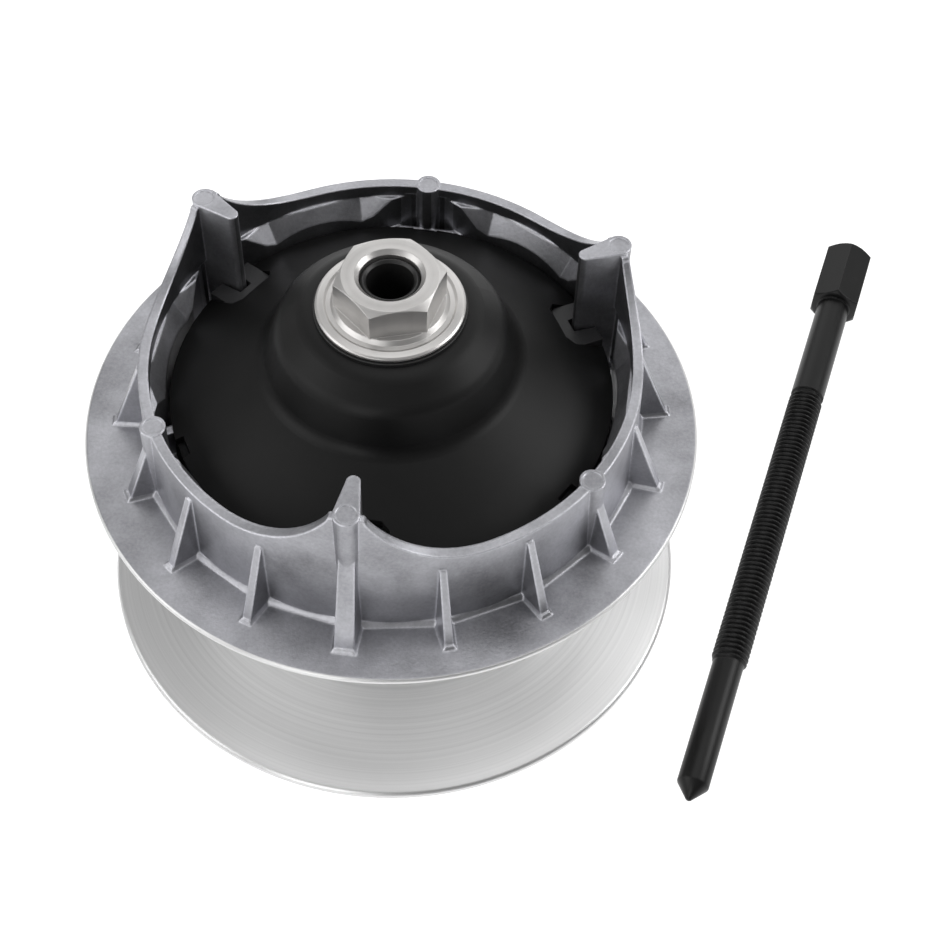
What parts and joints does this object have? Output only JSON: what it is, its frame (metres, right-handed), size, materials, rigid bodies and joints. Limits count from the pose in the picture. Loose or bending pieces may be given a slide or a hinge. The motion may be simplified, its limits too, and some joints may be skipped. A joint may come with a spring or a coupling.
{
  "type": "cvt drive pulley set",
  "caption": "Centrifugal belt-drive pulley with conical sheaves, ribbed crown skirt, domed cam cap and flange nut, with its threaded puller bolt beside it.",
  "frame": {"origin": "on the pulley axis in the rear face plane, where the crank enters the taper", "axes": "+Z along the pulley axis from the fixed sheave to the flange nut; the puller bolt lies on the +X side with its tip towards -Y"},
  "size_m": [0.2845, 0.2466, 0.145],
  "materials": {
    "cast_aluminium": "as-cast grey with bright machined belt faces",
    "drive_steel": "black phosphated steel",
    "black_cap": "semi-gloss black coated sheet steel",
    "zinc_plate": "bright zinc plated",
    "hard_steel": "ground hardened steel",
    "screw_steel": "black oxide screws",
    "spring_steel": "oiled spring steel",
    "bush_polymer": "bearing polymer liner",
    "shoe_plastic": "moulded black nylon",
    "black_oxide": "satin black oxide"
  },
  "bodies": {
    "fixed_side": {"fixed_sheave": "cast_aluminium", "drive_shaft": "drive_steel", "sheave_screws": "screw_steel", "idler_sleeve": "hard_steel", "idler_bearing": "hard_steel", "idler_snap_ring": "spring_steel", "clutch_spring": "spring_steel", "cam_cap": "black_cap", "cap_washer": "drive_steel", "flange_nut": "zinc_plate", "cam_ramp_1": "black_cap", "cam_ramp_2": "black_cap", "cam_ramp_3": "black_cap", "guide_shoe_1": "shoe_plastic", "guide_shoe_2": "shoe_plastic", "guide_shoe_3": "shoe_plastic"},
    "sliding_side": {"moving_sheave": "cast_aluminium", "lower_bushing": "bush_polymer", "upper_bushing": "bush_polymer", "spring_seat": "hard_steel"},
    "idler": {"idler_ring": "hard_steel"},
    "flyweight_1": {"weight_block_1": "hard_steel", "roller_pin_1": "hard_steel"},
    "roller_1": {"roller_1": "hard_steel"},
    "flyweight_2": {"weight_block_2": "hard_steel", "roller_pin_2": "hard_steel"},
    "roller_2": {"roller_2": "hard_steel"},
    "flyweight_3": {"weight_block_3": "hard_steel", "roller_pin_3": "hard_steel"},
    "roller_3": {"roller_3": "hard_steel"},
    "puller": {"puller_bolt": "black_oxide"}
  },
  "joints": [
    {"name": "sheave_slide", "type": "slide", "parent": "fixed_side", "child": "sliding_side", "axis": [0, 0, -1], "range_m": [0, 0.026], "stiffness_N_per_m": 8000, "springref_m": -0.02, "deforming": ["clutch_spring"]},
    {"name": "idler_spin", "type": "hinge", "parent": "fixed_side", "child": "idler", "pos_m": [0, 0, 0.03782], "axis": [0, 0, 1], "continuous": true},
    {"name": "flyweight_slide_1", "type": "slide", "parent": "sliding_side", "child": "flyweight_1", "axis": [0.1011, 0.9949, 0], "range_m": [0, 0.0208]},
    {"name": "roller_turn_1", "type": "hinge", "parent": "flyweight_1", "child": "roller_1", "pos_m": [0.00445, 0.04378, 0.0962], "axis": [0.9949, -0.1011, 0], "range_deg": [0, 272.53]},
    {"name": "flyweight_slide_2", "type": "slide", "parent": "sliding_side", "child": "flyweight_2", "axis": [-0.9121, -0.4099, 0], "range_m": [0, 0.0208]},
    {"name": "roller_turn_2", "type": "hinge", "parent": "flyweight_2", "child": "roller_2", "pos_m": [-0.04013, -0.01804, 0.0962], "axis": [-0.4099, 0.9121, 0], "range_deg": [0, 272.53]},
    {"name": "flyweight_slide_3", "type": "slide", "parent": "sliding_side", "child": "flyweight_3", "axis": [0.8111, -0.585, 0], "range_m": [0, 0.0208]},
    {"name": "roller_turn_3", "type": "hinge", "parent": "flyweight_3", "child": "roller_3", "pos_m": [0.03569, -0.02574, 0.0962], "axis": [-0.585, -0.8111, 0], "range_deg": [0, 272.53]},
    {"name": "puller_lift", "type": "slide", "parent": "fixed_side", "child": "puller", "axis": [0, 0, 1], "range_m": [0, 0.06]}
  ],
  "couplings": [
    {"joint": "flyweight_slide_1", "follows": "sheave_slide", "ratio": 0.8},
    {"joint": "roller_turn_1", "follows": "sheave_slide", "rad_per_m": 182.95},
    {"joint": "flyweight_slide_2", "follows": "sheave_slide", "ratio": 0.8},
    {"joint": "roller_turn_2", "follows": "sheave_slide", "rad_per_m": 182.95},
    {"joint": "flyweight_slide_3", "follows": "sheave_slide", "ratio": 0.8},
    {"joint": "roller_turn_3", "follows": "sheave_slide", "rad_per_m": 182.95}
  ]
}
